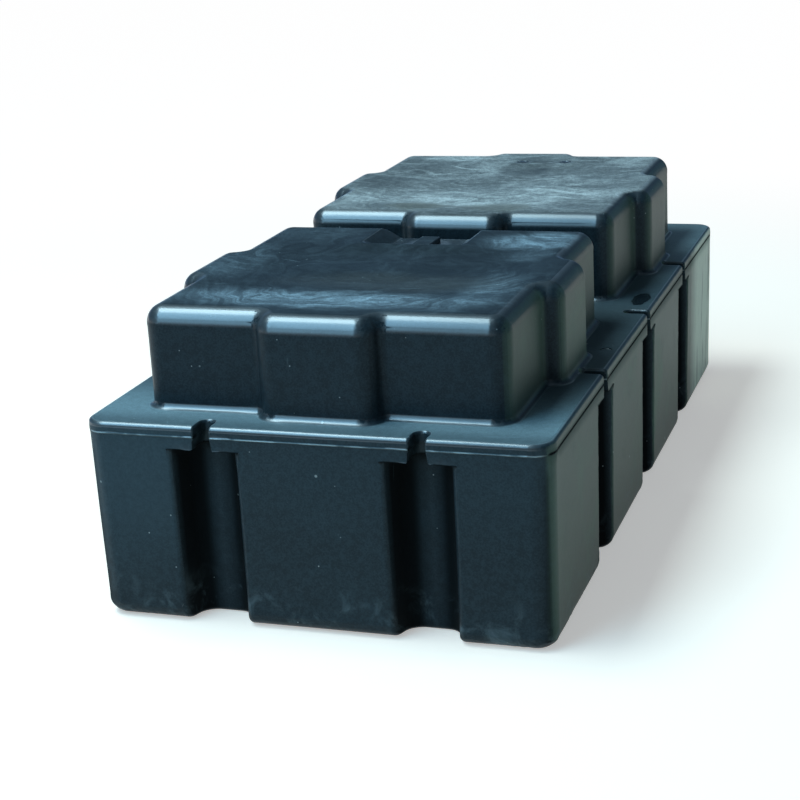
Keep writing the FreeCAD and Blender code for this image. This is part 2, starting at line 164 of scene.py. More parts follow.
# %% [markdown]
# ## Where the skin is round
# Highlights and wear both follow the rounded edges. How round the skin is at a point is worked out from
# the mesh: along each mesh edge, the turn of the normal divided by the length. It is positive on an edge
# that sticks out and negative in a hollow, and it is kept on the mesh for the materials.

# %% Measure the roundness
def roundness(mesh, place, normal):
    """Mean curvature at each point: (turn of the normal along an edge) / (edge length squared)."""
    pairs = np.empty(len(mesh.edges) * 2, np.int32)
    mesh.edges.foreach_get("vertices", pairs)
    a, b = pairs.reshape(-1, 2).T
    along = place[b] - place[a]
    span = np.maximum((along ** 2).sum(1), 1e-8)
    bend = ((normal[b] - normal[a]) * along).sum(1) / span
    weight = np.sqrt(span)
    total = np.zeros(len(place))
    share = np.zeros(len(place))
    np.add.at(total, a, bend * weight)
    np.add.at(total, b, bend * weight)
    np.add.at(share, a, weight)
    np.add.at(share, b, weight)
    return total / np.maximum(share, 1e-9)


def keep_value(mesh, name, values):
    """Stores one number for each point of a mesh, under a name that a material can read."""
    attribute = mesh.attributes.new(name, "FLOAT", "POINT")
    attribute.data.foreach_set("value", values.astype(np.float32))


EDGE_CURVE = 55.0
ROUNDED = 15.0
curve = roundness(shell_mesh, place, normal)
keep_value(shell_mesh, "edge", np.clip(curve / EDGE_CURVE, 0, 1))
keep_value(shell_mesh, "hollow", np.clip(-curve / EDGE_CURVE, 0, 1))
print("share of points on rounded edges", round(float((curve > ROUNDED).mean()), 3))

# %% [markdown]
# ## The wavy skin
# A float comes out of its mould hot and shrinks, so its walls are never flat: they have slow waves about
# a millimetre deep and the two tops sink in the middle. Those waves are what makes a reflection on such
# a part look real, and a bump map can't bend an outline, so they are made in the mesh. Each wave is a sum
# of cosines in slanted directions. All of it only goes inwards, so the part stays inside its real size.
# The ledge keeps flat, because a wave that starts beside a rounded edge would show there as a line.

# %% Waves and sunk tops
def waves(place, seed, length, count):
    """Sum of cosines of (direction . place / length), in seeded directions, scaled to -1 .. 1."""
    chance = np.random.default_rng(seed)
    direction = chance.normal(size=(count, 3))
    direction /= np.linalg.norm(direction, axis=1, keepdims=True)
    stretch = chance.uniform(0.7, 1.6, count)
    start = chance.uniform(0, 2 * math.pi, count)
    phase = place @ (direction * stretch[:, None]).T * (2 * math.pi / length) + start
    return np.cos(phase).sum(1) / math.sqrt(2 * count)


def smooth_step(value, low, high):
    """0 below low, 1 above high, and 3t^2 - 2t^3 between."""
    part = np.clip((value - low) / (high - low), 0, 1)
    return part * part * (3 - 2 * part)


FLAT_CURVE = 25.0
WALL_WAVE = 0.0005
TOP_SINK = 0.0050
TOP_RIPPLE = 0.0010
HOLLOW_MIDDLE = (0.020, 0.442)
HOLLOW_REACH = (0.055, 0.026)
HOLLOW_DEPTH = 0.0016
TOP_STARTS, TOP_FULL = TOP - 0.0006, TOP - 0.0001
flat = 1 - np.clip(np.abs(curve) / FLAT_CURVE, 0, 1)
wall_depth = WALL_WAVE * (1 + 0.5 * waves(place, 3, 0.34, 9) + 0.25 * waves(place, 5, 0.13, 9))
wall_depth *= 1 - smooth_step(normal[:, 2], 0.5, 0.9)

flat_half_width = BLOCK_HALF_WIDTH - TOP_EDGE_RADIUS
flat_half_length = BLOCK_FRONT - BLOCK_MIDDLE - TOP_EDGE_RADIUS
across = np.clip(1 - (x / flat_half_width) ** 2, 0, 1)
down_length = np.clip(1 - ((np.abs(y) - BLOCK_MIDDLE) / flat_half_length) ** 2, 0, 1)
inside = across * down_length
on_top = smooth_step(z, TOP_STARTS, TOP_FULL)
sink = TOP_SINK * inside * (1 + 0.45 * waves(place, 11, 0.31, 7))
ripple = TOP_RIPPLE * (1 + waves(place, 13, 0.105, 9)) * np.sqrt(inside)
hollow_aside = (x - HOLLOW_MIDDLE[0]) / HOLLOW_REACH[0]
hollow_ahead = (y - HOLLOW_MIDDLE[1]) / HOLLOW_REACH[1]
hollow_dent = HOLLOW_DEPTH * np.clip(1 - hollow_aside ** 2 - hollow_ahead ** 2, 0, 1) ** 2
top_depth = on_top * (sink + ripple + hollow_dent)
print("deepest wave of a wall", round(float(wall_depth.max() * 1000), 2), "mm")
print("deepest sink of a top", round(float(top_depth.max() * 1000), 2), "mm")

# %% [markdown]
# ## Calm places
# The wave is faded out where something seats or fits: on the ground, round the two plugs, and in the dip
# with its tongue, so those stay exactly as they are in the packed model.

# %% Fade the waves where things fit
plug_low, plug_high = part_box("filling_plug_left")
left_plug = (plug_low + plug_high) / 2
plug_low, plug_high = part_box("filling_plug_right")
right_plug = (plug_low + plug_high) / 2
DIP_HALF_WIDTH = 0.0762
DIP_LENGTH = 0.116
DIP_FRONT = -(CHANNEL_HALF + DIP_LENGTH)
ROUND_PLUG = (0.012, 0.034)
ROUND_DIP = (0.004, 0.030)
BELOW_TOP = 0.03
OFF_GROUND = 0.004

calm = np.ones(len(place))
for plug in (left_plug, right_plug):
    away = np.hypot(x - plug.x, y - plug.y)
    calm *= smooth_step(away, *ROUND_PLUG)
beside_dip = np.maximum(np.abs(x) - DIP_HALF_WIDTH, DIP_FRONT - y)
near_dip = np.where(y < 0, smooth_step(beside_dip, *ROUND_DIP), 1.0)
calm *= np.where(z > TOP - BELOW_TOP, near_dip, 1.0)
off_ground = smooth_step(z, 0.0, OFF_GROUND)
print("points kept calm", int((calm < 0.5).sum()))

# %% [markdown]
# ## The flash line
# Where the two halves of the mould met, a thin fin of plastic ran out and was trimmed. On the ends of
# this float it stands proud and catches the light. On the long sides it was cut back to a fine groove.
# The outer walls go in by the height of the fin, and the fin keeps the full size.

# %% Raise the fin and cut the groove
FIN = 0.0008
FIN_HALF_WIDTH = 0.0011
OUTER_SKIN = 0.009
OUTER_FADE = 0.004
BELOW_LEDGE = 0.004
SEAM_DEPTH = 0.0016
from_parting = np.abs(z - PARTING)
ridge = np.clip(1 - from_parting / FIN_HALF_WIDTH, 0, 1)
wall_depth_in = np.minimum(HALF_WIDTH - np.abs(x), HALF_LENGTH - np.abs(y))
outer = np.clip((OUTER_SKIN - wall_depth_in) / OUTER_FADE, 0, 1)
upright_wall = 1 - smooth_step(np.abs(normal[:, 2]), 0.3, 0.7)
outer = outer * upright_wall * (z < LEDGE - BELOW_LEDGE)
facing_side = smooth_step(np.abs(normal[:, 0]), 0.55, 0.85)
ragged = 0.75 + 0.25 * waves(place, 17, 0.035, 8)
skin_in = FIN * outer
skin_in *= 1 - ridge * (1 - facing_side) * np.clip(ragged, 0.35, 1)
skin_in += SEAM_DEPTH * outer * ridge * facing_side
print("points on the flash line", int((ridge * outer > 0.5).sum()))

# %% [markdown]
# ## Moving the points
# Each point goes inwards along its own normal by its wave, and the tops go straight down, so a rounded
# edge keeps its shape. The moved places go back into the mesh in one call.

# %% Move the points
depth = wall_depth * flat * calm * off_ground * (1 - ridge * outer) + skin_in
place -= normal * depth[:, None]
place[:, 2] -= top_depth * calm
place = np.clip(place, np.array(cad_box[0]), np.array(cad_box[1]))
shell_mesh.vertices.foreach_set("co", place.astype(np.float32).ravel())
shell_mesh.update()
print("points moved, the farthest by", round(float((depth + top_depth * calm).max() * 1000), 2), "mm")

# %% [markdown]
# ## Marks for the finish
# The inside of a bolt groove is painted darker than the wall as painted shade, least in the middle of
# its back, and the rim under a groove's head is painted dark as shade too. The proud flash line is painted
# paler as a painted highlight. A material can't measure how deep a point lies, so these masks are worked
# out here and kept on the mesh as values.

# %% Keep the painted groove shade, the fin's painted highlight and the parting groove as values
GROOVE_MOUTH = (0.003, 0.016)
GROOVE_BACK = (GROOVE_DEPTH - 0.004, GROOVE_DEPTH - 0.001)
BACK_MIDDLE = (0.004, 0.024)
BACK_SHARE = 0.8
GROOVE_RIM = 0.004
END_REGION = 0.06
# Painted shade: the insides of the grooves are darkened in the colour, less in the middle of a groove's
# back, and so is the rim under a groove's head.
shaded_inside = smooth_step(wall_depth_in, *GROOVE_MOUTH) * (z < GROOVE_HEAD + 0.001)
shaded_inside *= (normal[:, 2] > -0.5) | (z > 0.1)
on_back = smooth_step(wall_depth_in, *GROOVE_BACK)
from_end_groove = np.abs(np.abs(x) - END_GROOVE_PITCH / 2)
from_side_groove = np.abs(np.abs(np.abs(y) - SIDE_GROOVE_PITCH / 2) - SIDE_GROOVE_PITCH / 2)
from_groove = np.where(np.abs(y) > HALF_LENGTH - END_REGION, from_end_groove, from_side_groove)
shaded_inside *= 1 - BACK_SHARE * on_back * (1 - smooth_step(from_groove, *BACK_MIDDLE))
shaded_ceiling_rim = (np.abs(z - GROOVE_HEAD) < GROOVE_RIM) * (normal[:, 2] < -0.2)
keep_value(shell_mesh, "recess", np.maximum(shaded_inside, shaded_ceiling_rim))
# Mask for the fin's painted highlight: the proud fin on the ends.
keep_value(shell_mesh, "flash", ridge * outer * (1 - facing_side))
seam_line = np.clip(1.4 - from_parting / (2 * FIN_HALF_WIDTH), 0, 1)
keep_value(shell_mesh, "seam", seam_line * outer * facing_side)
print("points inside the grooves", int((shaded_inside > 0.5).sum()))

# %% [markdown]
# ## The shell as a piece
# A moulding is smooth all over, with no hard edge but where it was cut. So the mesh is shaded smooth and
# kept sharp only at steep turns, and each normal leans towards the larger faces, which keeps walls plain.

# %% Make the piece
SHARP_TURN = math.radians(38)
FACE_WEIGHT = 60


def smooth_piece(mesh, name):
    """Object of a mesh, smooth except at edges that turn steeply."""
    mesh.shade_smooth()
    mesh.set_sharp_from_angle(angle=SHARP_TURN)
    piece = bpy.data.objects.new(name, mesh)
    bpy.context.scene.collection.objects.link(piece)
    weighted = piece.modifiers.new("flat walls stay flat", "WEIGHTED_NORMAL")
    weighted.keep_sharp = True
    weighted.weight = FACE_WEIGHT
    return piece


shell = smooth_piece(shell_mesh, "moulded_shell")
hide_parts("float_shell")
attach(shell, "root")
print("shell piece made")

# %% [markdown]
# ## Building materials by code
# A material is a graph of nodes. A few short helpers keep the graphs below readable: one adds a node,
# sets its values and links its inputs, some do sums with masks, and one makes a node group with named
# sockets. A mask runs from 0 to 1, and two masks are joined by their product, or by the larger of them.

# %% Node helpers
class Graph:
    """Adds nodes to a node tree and links them."""

    def __init__(self, tree):
        self.tree = tree
        self.column = 0

    def node(self, kind, inputs=None, **settings):
        """Node of a kind, with its settings, and inputs given as values or as sockets to link."""
        node = self.tree.nodes.new(kind)
        self.column += 1
        node.location = (180 * (self.column % 12), -260 * (self.column // 12))
        for key, value in settings.items():
            setattr(node, key, value)
        for key, value in (inputs or {}).items():
            self.feed(node.inputs[key], value)
        return node

    def feed(self, socket, value):
        """Links a socket to an input, or sets its value."""
        if isinstance(value, bpy.types.NodeSocket):
            self.tree.links.new(value, socket)
        else:
            socket.default_value = value

    def math(self, operation, first, second=0.0, clamp=False):
        """One sum of two numbers."""
        node = self.node("ShaderNodeMath", {0: first, 1: second}, operation=operation, use_clamp=clamp)
        return node.outputs[0]

    def times(self, *factors):
        """Product of numbers, taken from left to right."""
        product = factors[0]
        for factor in factors[1:]:
            product = self.math("MULTIPLY", product, factor)
        return product

    def plus(self, *terms):
        """Sum of numbers, taken from left to right."""
        total = terms[0]
        for term in terms[1:]:
            total = self.math("ADD", total, term)
        return total

    def rest(self, value):
        """One minus a number: what a mask leaves over."""
        return self.math("SUBTRACT", 1.0, value)

    def larger(self, first, second):
        """The larger of two numbers."""
        return self.math("MAXIMUM", first, second)

    def kept(self, name):
        """A value that is kept on the mesh under a name."""
        return self.node("ShaderNodeAttribute", attribute_name=name).outputs["Fac"]

    def parts(self, vector):
        """The three numbers of a vector."""
        return self.node("ShaderNodeSeparateXYZ", {0: vector}).outputs

    def reach(self, aside, ahead):
        """Distance of a point that lies so far aside and so far ahead."""
        return self.math("SQRT", self.plus(self.times(aside, aside), self.times(ahead, ahead)))

    def ramp(self, value, low, high):
        """0 below low, 1 above high, smooth between."""
        node = self.node("ShaderNodeMapRange", {"Value": value, "From Min": low, "From Max": high},
                         interpolation_type="SMOOTHSTEP")
        return node.outputs["Result"]

    def noise(self, place, scale, detail=3.0, roughness=0.5, distortion=0.0):
        """Cloudy noise from 0 to 1."""
        node = self.node("ShaderNodeTexNoise", {"Vector": place, "Scale": scale, "Detail": detail,
                                                "Roughness": roughness, "Distortion": distortion})
        return node.outputs["Fac"]

    def stretched(self, place, scale, turn=(0, 0, 0), offset=(0, 0, 0)):
        """Place, turned, shifted and stretched, for streaks."""
        node = self.node("ShaderNodeMapping", {"Vector": place, "Scale": scale, "Rotation": turn,
                                               "Location": offset})
        return node.outputs["Vector"]

    def bent(self, place, scale, detail, push):
        """Place, pushed about by slow noise: place + push * (noise colour - 0.5)."""
        noise = self.node("ShaderNodeTexNoise", {"Vector": place, "Scale": scale, "Detail": detail})
        centred = self.node("ShaderNodeVectorMath", {0: noise.outputs["Color"], 1: (0.5, 0.5, 0.5)},
                            operation="SUBTRACT")
        shift = self.node("ShaderNodeVectorMath", {0: centred.outputs[0], "Scale": push}, operation="SCALE")
        moved = self.node("ShaderNodeVectorMath", {0: place, 1: shift.outputs[0]}, operation="ADD")
        return moved.outputs[0]

    def mix(self, share, first, second):
        """Colour between two colours."""
        node = self.node("ShaderNodeMix", data_type="RGBA")
        self.feed(node.inputs[0], share)
        self.feed(node.inputs[6], first)
        self.feed(node.inputs[7], second)
        return node.outputs[2]


print("graph helpers:", ", ".join(name for name in vars(Graph) if not name.startswith("_")))

# %% Groups and materials
NUMBER, VECTOR = "NodeSocketFloat", "NodeSocketVector"


def node_group(name, inputs, outputs):
    """Empty shader group with named inputs (name, default) and outputs; returns it, its graph,
    its input node and its output node."""
    tree = bpy.data.node_groups.new(name, "ShaderNodeTree")
    for label, default in inputs:
        kind = VECTOR if default is None else NUMBER
        socket = tree.interface.new_socket(label, in_out="INPUT", socket_type=kind)
        if default is not None:
            socket.default_value = default
    for label in outputs:
        tree.interface.new_socket(label, in_out="OUTPUT", socket_type=NUMBER)
    graph = Graph(tree)
    return tree, graph, graph.node("NodeGroupInput"), graph.node("NodeGroupOutput")


def use_group(graph, tree, inputs):
    """Places a group in a graph and sets or links its inputs."""
    node = graph.node("ShaderNodeGroup", node_tree=tree)
    for key, value in inputs.items():
        graph.feed(node.inputs[key], value)
    return node.outputs


def told(tree):
    """Says how many nodes a finished tree has, and hands it on."""
    print(tree.name, "has", len(tree.nodes), "nodes")
    return tree


def empty_material(name):
    """Material with an empty tree; returns it and its graph."""
    material = bpy.data.materials.new(name)
    material.use_nodes = True
    material.node_tree.nodes.clear()
    return material, Graph(material.node_tree)


def show(graph, shader):
    """Links a shader to the output of a material."""
    output = graph.node("ShaderNodeOutputMaterial")
    graph.feed(output.inputs["Surface"], shader)


print("sockets of a group are a", NUMBER, "or a", VECTOR)

# %% [markdown]
# ## Effects that the finishes share
# The shell and the plugs are the same plastic and had the same life, so what happened to them is made
# once, as node groups: the mould's fine texture, scratches, specks of dirt, patches of haze, wipe marks,
# speckle and the rings of dried puddles. Each puts out a mask or a height, and each finish uses it at its
# own strength. They are worked out from places on the part, so nothing has to be wrapped round it.

# %% Fine texture of the mould
FINE_GRAIN, COARSE_GRAIN = 620.0, 130.0


def build_mould_grain():
    """Height of a sandblasted mould's texture: 0.6 * fine noise + 0.4 * coarser noise."""
    tree, graph, given, result = node_group("mould grain", [("Place", None), ("Size", 1.0)], ["Height"])
    place, size = given.outputs["Place"], given.outputs["Size"]
    fine = graph.noise(place, graph.math("DIVIDE", FINE_GRAIN, size), 3.0, 0.6)
    coarse = graph.noise(place, graph.math("DIVIDE", COARSE_GRAIN, size), 2.0, 0.5)
    graph.feed(result.inputs["Height"], graph.plus(graph.times(fine, 0.6), graph.times(coarse, 0.4)))
    return tree


mould_grain = told(build_mould_grain())


# %% Scratches
def build_scratches():
    """Mask of fine scratches: noise stretched forty times along a bent direction, only its peaks kept,
    and broken up by patches so that the scratches come in groups."""
    tree, graph, given, result = node_group(
        "scratches", [("Place", None), ("Turn", 0.0), ("Amount", 0.5), ("Seed", 0.0)], ["Mask"])
    place, seed = given.outputs["Place"], given.outputs["Seed"]
    turn = graph.node("ShaderNodeCombineXYZ", {"Z": given.outputs["Turn"]}).outputs[0]
    offset = graph.node("ShaderNodeCombineXYZ", {"X": seed, "Y": seed}).outputs[0]
    lines = graph.stretched(graph.bent(place, 4.0, 1.0, 0.12), (6.0, 260.0, 60.0), turn, offset)
    thin = graph.ramp(graph.noise(lines, 1.0, 2.0, 0.6), 0.66, 0.74)
    patch = graph.noise(place, 7.0, 2.0, 0.6)
    level = graph.math("SUBTRACT", 0.78, graph.times(given.outputs["Amount"], 0.4))
    grouped = graph.ramp(patch, level, graph.plus(level, 0.12))
    graph.feed(result.inputs["Mask"], graph.times(thin, grouped))
    return tree


scratches = told(build_scratches())


# %% Specks
def build_specks():
    """Mask of small pale specks: round cells, of which only the few with a low random value show."""
    tree, graph, given, result = node_group(
        "specks", [("Place", None), ("Spacing", 0.02), ("Size", 0.001), ("Share", 0.3)], ["Mask"])
    spacing, size = given.outputs["Spacing"], given.outputs["Size"]
    scale = graph.math("DIVIDE", 1.0, spacing)
    cells = graph.node("ShaderNodeTexVoronoi", {"Vector": given.outputs["Place"], "Scale": scale,
                                                "Randomness": 1.0}, feature="F1")
    away = graph.times(cells.outputs["Distance"], spacing)
    round_spot = graph.rest(graph.ramp(away, graph.times(0.4, size), size))
    chance = graph.node("ShaderNodeSeparateColor", {0: cells.outputs["Color"]}).outputs[0]
    kept = graph.math("LESS_THAN", chance, given.outputs["Share"])
    graph.feed(result.inputs["Mask"], graph.times(round_spot, kept))
    return tree


specks = told(build_specks())


# %% Haze
def build_haze():
    """Mask of dull weathered patches: broad bent noise with cloudy edges."""
    tree, graph, given, result = node_group(
        "haze", [("Place", None), ("Scale", 4.0), ("Cover", 0.5)], ["Mask"])
    cloud = graph.noise(given.outputs["Place"], given.outputs["Scale"], 6.0, 0.58, 0.6)
    low = graph.math("SUBTRACT", 0.72, graph.times(given.outputs["Cover"], 0.5))
    graph.feed(result.inputs["Mask"], graph.ramp(cloud, low, graph.plus(low, 0.3)))
    return tree


haze = told(build_haze())


# %% Wipe marks
def build_wipe_marks():
    """Mask of broad pale streaks, as a wet cloth leaves them: noise stretched ten times along a line that
    a second, slower noise bends into swirls."""
    tree, graph, given, result = node_group(
        "wipe marks", [("Place", None), ("Turn", 0.0), ("Cover", 0.5)], ["Mask"])
    turn = graph.node("ShaderNodeCombineXYZ", {"Z": given.outputs["Turn"]}).outputs[0]
    lines = graph.stretched(graph.bent(given.outputs["Place"], 5.0, 2.0, 0.16), (9.0, 85.0, 40.0), turn)
    low = graph.math("SUBTRACT", 0.70, graph.times(given.outputs["Cover"], 0.35))
    streak = graph.ramp(graph.noise(lines, 1.0, 4.0, 0.62), low, graph.plus(low, 0.22))
    graph.feed(result.inputs["Mask"], streak)
    return tree


wipe_marks = told(build_wipe_marks())


# %% Speckle
def build_speckle():
    """Fine light and dark speckle, two to eight millimetres wide, from 0 to 1."""
    tree, graph, given, result = node_group("speckle", [("Place", None)], ["Value"])
    fine = graph.noise(given.outputs["Place"], 420.0, 2.0, 0.6)
    broad = graph.noise(given.outputs["Place"], 120.0, 3.0, 0.6)
    both = graph.plus(graph.times(fine, 0.55), graph.times(broad, 0.45))
    graph.feed(result.inputs["Value"], graph.ramp(both, 0.38, 0.62))
    return tree


speckle = told(build_speckle())

# %% Drying rings
RING_WOBBLE = 1.5
ROUND_PITCH = 1.6
RING_PITCH = 14.0


def build_drying_rings():
    """Mask of pale lines that a drying puddle leaves: noise drawn out along circles round a point. The
    noise is read at (cos a, sin a, distance), so that it has no seam where the angle a starts again."""
    tree, graph, given, result = node_group(
        "drying rings", [("Place", None), ("Across", 0.0), ("Along", 0.0), ("Reach", 0.2)], ["Lines"])
    place = given.outputs["Place"]
    spot = graph.parts(place)
    aside = graph.math("SUBTRACT", spot[0], given.outputs["Across"])
    ahead = graph.math("SUBTRACT", spot[1], given.outputs["Along"])
    away = graph.reach(aside, ahead)
    wobble = graph.times(graph.noise(place, 5.5, 3.0, 0.6), RING_WOBBLE)
    ring = graph.plus(graph.math("DIVIDE", away, given.outputs["Reach"]), wobble)
    round_place = graph.node("ShaderNodeCombineXYZ", {
        "X": graph.times(graph.math("DIVIDE", aside, away), ROUND_PITCH),
        "Y": graph.times(graph.math("DIVIDE", ahead, away), ROUND_PITCH),
        "Z": graph.times(ring, RING_PITCH)}).outputs[0]
    streak = graph.noise(round_place, 1.0, 5.0, 0.62)
    graph.feed(result.inputs["Lines"], graph.ramp(streak, 0.40, 0.68))
    return tree


drying_rings = told(build_drying_rings())

# %% [markdown]
# ## Weather on the tops
# Rain stands on the sunk tops and dries from the rim inwards. It leaves rings and a milky haze, and brown
# dirt where the last of it lay. Haze is hard to guess by noise alone, so it is dabbed on as soft ovals,
# each with its own strength, and the shared effects break the ovals up. The haze also carries painted sky
# reflection: its paler and darker ovals paint what the sunk tops mirror.

# %% Soft ovals
RIM_BEND = 0.7
RIM_AT = 1.2


def oval(graph, place, centre, half, wander=9.0, soft=0.12):
    """Mask of a patch seen from above: 1 inside an oval round a point, with its rim bent by noise."""
    spot = graph.parts(place)
    aside = graph.math("DIVIDE", graph.math("SUBTRACT", spot[0], centre[0]), half[0])
    ahead = graph.math("DIVIDE", graph.math("SUBTRACT", spot[1], centre[1]), half[1])
    bent = graph.plus(graph.reach(aside, ahead), graph.times(graph.noise(place, wander, 2.0), RIM_BEND))
    return graph.rest(graph.ramp(bent, RIM_AT - soft, RIM_AT + soft))


print("the rim of an oval wanders by", RIM_BEND / 2, "of its half size")

# %% Weather on the tops
# Each patch is its centre, its half sizes, how finely its rim wanders, how soft it is, and what it adds.
# Haze and painted sky reflection: the paler and darker patches paint what the sunk tops mirror, as well as
# haze.
HAZE_AND_REFLECTION_PATCHES = (
    ((0.010, 0.190), (0.190, 0.085), 7.0, 0.50, 0.42),
    ((-0.130, 0.510), (0.060, 0.035), 24.0, 0.30, 0.38),
    ((0.015, 0.430), (0.055, 0.085), 12.0, 0.25, -0.28),
    ((-0.200, 0.360), (0.065, 0.130), 9.0, 0.45, -0.22),
    ((-0.075, 0.098), (0.052, 0.030), 22.0, 0.35, -0.30),
    ((0.052, 0.095), (0.058, 0.032), 22.0, 0.35, -0.26),
    ((0.180, -0.130), (0.085, 0.050), 14.0, 0.40, 0.42),
    ((0.185, -0.210), (0.040, 0.040), 30.0, 0.30, 0.07),
    ((-0.020, -0.474), (0.200, 0.048), 26.0, 0.60, 0.46),
    ((0.185, -0.400), (0.045, 0.090), 18.0, 0.45, 0.17),
    ((-0.215, -0.280), (0.045, 0.130), 14.0, 0.40, 0.14),
    ((-0.170, -0.100), (0.080, 0.060), 12.0, 0.45, 0.06),
)
DIRT_PATCHES = (
    ((-0.075, 0.098), (0.060, 0.034), 22.0, 0.30, 0.42),
    ((0.052, 0.095), (0.064, 0.036), 22.0, 0.30, 0.36),
    ((0.040, -0.370), (0.150, 0.055), 12.0, 0.50, 0.10),
)


def patches(graph, place, start, table):
    """A start value, and what each patch of a table adds to it."""
    total = start
    for centre, half, wander, soft, added in table:
        total = graph.plus(total, graph.times(oval(graph, place, centre, half, wander, soft), added))
    return total


def build_top_weather_and_reflection():
    """Shares of haze with painted sky reflection, and of brown dirt, on the tops: the front top is clear
    with a pale dried rim, the rear top is hazy and painted pale all over, and rings, wipe marks and speckle
    break both up."""
    tree, graph, given, result = node_group("top weather and reflection", [("Place", None)], ["Haze", "Dirt"])
    place = given.outputs["Place"]
    along = graph.parts(place)[1]
    all_over = graph.plus(0.02, graph.times(graph.ramp(along, 0.0, 0.08), 0.50))
    amount = patches(graph, place, all_over, HAZE_AND_REFLECTION_PATCHES)
    front_rings = use_group(graph, drying_rings, {"Place": place, "Across": 0.02, "Along": -0.25,
                                                  "Reach": 0.20})["Lines"]
    rear_rings = use_group(graph, drying_rings, {"Place": place, "Across": 0.0, "Along": 0.36,
                                                 "Reach": 0.26})["Lines"]
    on_rear = graph.ramp(along, -0.01, 0.01)
    rings = graph.plus(graph.times(front_rings, graph.rest(on_rear)),
                       graph.times(rear_rings, graph.times(on_rear, 0.35)))
    wipes = use_group(graph, wipe_marks, {"Place": place, "Turn": 0.25, "Cover": 0.5})["Mask"]
    cloud = use_group(graph, haze, {"Place": place, "Scale": 11.0, "Cover": 0.55})["Mask"]
    streaks = graph.plus(graph.times(rings, 0.36), graph.times(wipes, 0.38), graph.times(cloud, 0.30))
    amount = graph.times(amount, graph.plus(0.44, graph.times(streaks, 1.90)))
    amount = graph.plus(amount, graph.times(streaks, 0.060))
    grain = use_group(graph, speckle, {"Place": place})["Value"]
    grainy = graph.plus(0.66, graph.times(grain, 0.68))
    graph.feed(result.inputs["Haze"], graph.math("MULTIPLY", amount, grainy, clamp=True))
    dirt = patches(graph, place, 0.0, DIRT_PATCHES)
    grainy = graph.plus(0.7, graph.times(grain, 0.6))
    graph.feed(result.inputs["Dirt"], graph.math("MULTIPLY", dirt, grainy, clamp=True))
    return tree


top_weather_and_reflection = told(build_top_weather_and_reflection())

# %% [markdown]
# ## The shell's plastic
# Carbon black makes the polyethylene nearly black, so what is seen is mostly reflection: satin on the
# walls, duller where it weathered on the tops, glossy where it is wet. Colour and roughness vary with
# those masks, and the bump joins the mould's grain with the scratches. Part of the colour is painted
# light: painted shade in the grooves and hollows, painted sky reflection in the haze of the tops and
# ledge, painted side light with the dust on the right, and a painted highlight on the fin. Tops, walls
# and the ground line are told apart by the object's own height and by the direction a face looks in,
# never by the camera.

# %% Colours and gloss of the shell
BLACK = (0.0092, 0.0145, 0.0180, 1)
# Painted shade for the insides of the grooves.
GROOVE_SHADE_BLACK = (0.0008, 0.0012, 0.0012, 1)
# The haze colours carry painted sky reflection as well as haze.
FRONT_HAZE_AND_REFLECTION = (0.390, 0.500, 0.560, 1)
REAR_HAZE_AND_REFLECTION = (0.600, 0.610, 0.585, 1)
LEDGE_HAZE_AND_REFLECTION = (0.270, 0.370, 0.400, 1)
TOP_DIRT = (0.240, 0.225, 0.175, 1)
WALL_HAZE = (0.110, 0.190, 0.235, 1)
# The side colours carry painted side light as well as dust and bloom.
SIDE_DUST_AND_LIGHT = (0.090, 0.160, 0.108, 1)
SIDE_BLOOM_AND_LIGHT = (0.720, 0.850, 0.700, 1)
SCUFF = (0.22, 0.29, 0.32, 1)
SPECK = (0.45, 0.50, 0.50, 1)
# Painted highlight on the proud fin.
FIN_HIGHLIGHT = (0.48, 0.58, 0.60, 1)
# Dark parting groove on the sides, and painted shade in the hollows.
SEAM_AND_CREASE_SHADE = (0.002, 0.003, 0.003, 1)
SHEEN_TINT = (0.62, 0.84, 1.0, 1)
SHEEN_LEVEL = 0.18
SKIN_GLOSS = 0.30
GLOSS_IOR = 1.9
PLUG_COAT = 0.8
PLASTIC_IOR = 1.5
print("black of the shell", BLACK[:3])


# %% A black plastic with its skin
def show_plastic(graph, colour, rough, bump, coat, coat_ior):
    """Shows a black plastic: a dull body with a blue sheen, under the mould's smooth skin as a coat."""
    surface = graph.node("ShaderNodeBsdfPrincipled", {
        "Base Color": colour, "Roughness": rough, "Normal": bump.outputs["Normal"], "Metallic": 0.0,
        "IOR": PLASTIC_IOR, "Specular IOR Level": SHEEN_LEVEL, "Specular Tint": SHEEN_TINT,
        "Coat Weight": coat, "Coat Roughness": SKIN_GLOSS, "Coat IOR": coat_ior})
    show(graph, surface.outputs["BSDF"])


print("sheen", SHEEN_LEVEL, "under a coat of roughness", SKIN_GLOSS)

# %% Where on the shell a point lies
ABOVE_LEDGE = LEDGE + 0.004


class ShellPlaces:
    """Masks that tell the regions of the shell apart: by the place, by the way a face looks, and by the
    values kept on the mesh."""

    def __init__(self, graph):
        self.place = graph.node("ShaderNodeTexCoord").outputs["Object"]
        self.across, self.along, self.height = graph.parts(self.place)
        facing = graph.parts(graph.node("ShaderNodeNewGeometry").outputs["Normal"])
        self.to_right, self.to_rear, self.to_sky = facing
        self.upward = graph.ramp(self.to_sky, 0.84, 0.995)
        self.wall = graph.rest(self.upward)
        self.looks_up = graph.ramp(self.to_sky, 0.02, 0.30)
        on_right = graph.ramp(self.across, 0.17, 0.20)
        self.sideways = graph.times(graph.ramp(self.to_right, 0.55, 0.95), on_right)
        self.on_ledge = graph.math("LESS_THAN", self.height, ABOVE_LEDGE)
        self.on_block = graph.rest(self.on_ledge)
        self.edge = graph.kept("edge")
        self.hollow = graph.kept("hollow")
        # Where the fin's painted highlight goes.
        self.flash = graph.kept("flash")
        self.seam = graph.kept("seam")
        # The painted groove shade, kept on the mesh.
        self.recess = graph.kept("recess")
        self.outside = graph.rest(self.recess)


print("blocks start above", round(ABOVE_LEDGE, 4), "m")

